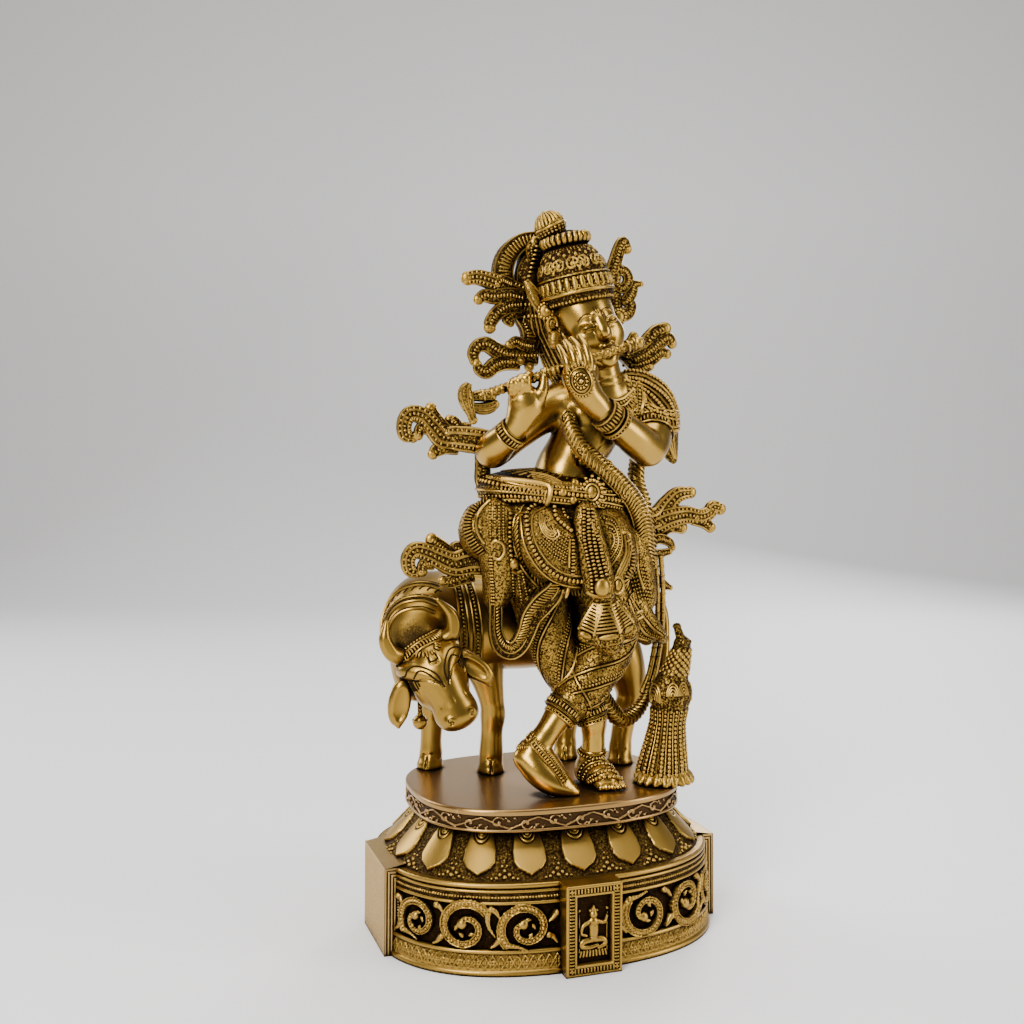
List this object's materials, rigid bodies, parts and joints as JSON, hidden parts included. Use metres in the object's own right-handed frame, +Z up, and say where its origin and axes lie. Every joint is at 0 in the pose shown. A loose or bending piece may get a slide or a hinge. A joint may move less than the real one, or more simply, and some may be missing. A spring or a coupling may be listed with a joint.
{
  "type": "flute player deity statue",
  "caption": "Cast brass statue of a crowned flute player standing cross-legged before a cow, with a peacock beside, on a lotus plinth.",
  "frame": {"origin": "middle of the plinth's resting face, on the surface it stands on", "axes": "+Z up through the figure; -Y is the front of the plinth, where the plaque with the small figure is; +X is the figure's own left, where the peacock stands"},
  "size_m": [0.1611, 0.125, 0.3057],
  "materials": {
    "figure_brass": "hand-polished antique brass with dark recesses",
    "cow_brass": "smooth satin antique brass",
    "plinth_brass": "antique brass, dark ground and rubbed relief",
    "screw_steel": "plain zinc-grey"
  },
  "bodies": {
    "root": {"anklets": "figure_brass", "apron_left": "figure_brass", "apron_right": "figure_brass", "arm_bands": "figure_brass", "back_plaque": "plinth_brass", "cow_bell": "figure_brass", "cow_body": "cow_brass", "cow_ears": "cow_brass", "cow_fore_legs": "cow_brass", "cow_head": "cow_brass", "cow_hind_legs": "cow_brass", "cow_horns": "cow_brass", "cow_tail": "cow_brass", "crest_arch": "figure_brass", "crown": "figure_brass", "crown_finial": "figure_brass", "deck": "plinth_brass", "deck_screws": "screw_steel", "dhoti_hips": "figure_brass", "drum_screws": "screw_steel", "ear_ornaments": "figure_brass", "figure_screws": "screw_steel", "flute": "figure_brass", "front_plaque": "plinth_brass", "garland": "figure_brass", "garland_cords": "figure_brass", "girdle": "figure_brass", "hair": "figure_brass", "head": "figure_brass", "left_end_block": "plinth_brass", "left_foot": "figure_brass", "left_forearm": "figure_brass", "left_hand": "figure_brass", "left_leg": "figure_brass", "left_side_drape": "figure_brass", "left_upper_arm": "figure_brass", "lotus_tier": "plinth_brass", "necklace": "figure_brass", "peacock_body": "figure_brass", "peacock_tail_fan": "figure_brass", "plinth_drum": "plinth_brass", "right_end_block": "plinth_brass", "right_foot": "figure_brass", "right_forearm": "figure_brass", "right_hand": "figure_brass", "right_leg": "figure_brass", "right_side_drape": "figure_brass", "right_upper_arm": "figure_brass", "sash": "figure_brass", "scarf_loop": "figure_brass", "scarf_scroll_elbow_right": "figure_brass", "scarf_scroll_head_left": "figure_brass", "scarf_scroll_head_right": "figure_brass", "scarf_scroll_hip_left": "figure_brass", "scarf_scroll_hip_right": "figure_brass", "scarf_scroll_neck_left": "figure_brass", "scarf_scroll_shoulder_right": "figure_brass", "shawl": "figure_brass", "torso": "figure_brass"}
  },
  "joints": []
}
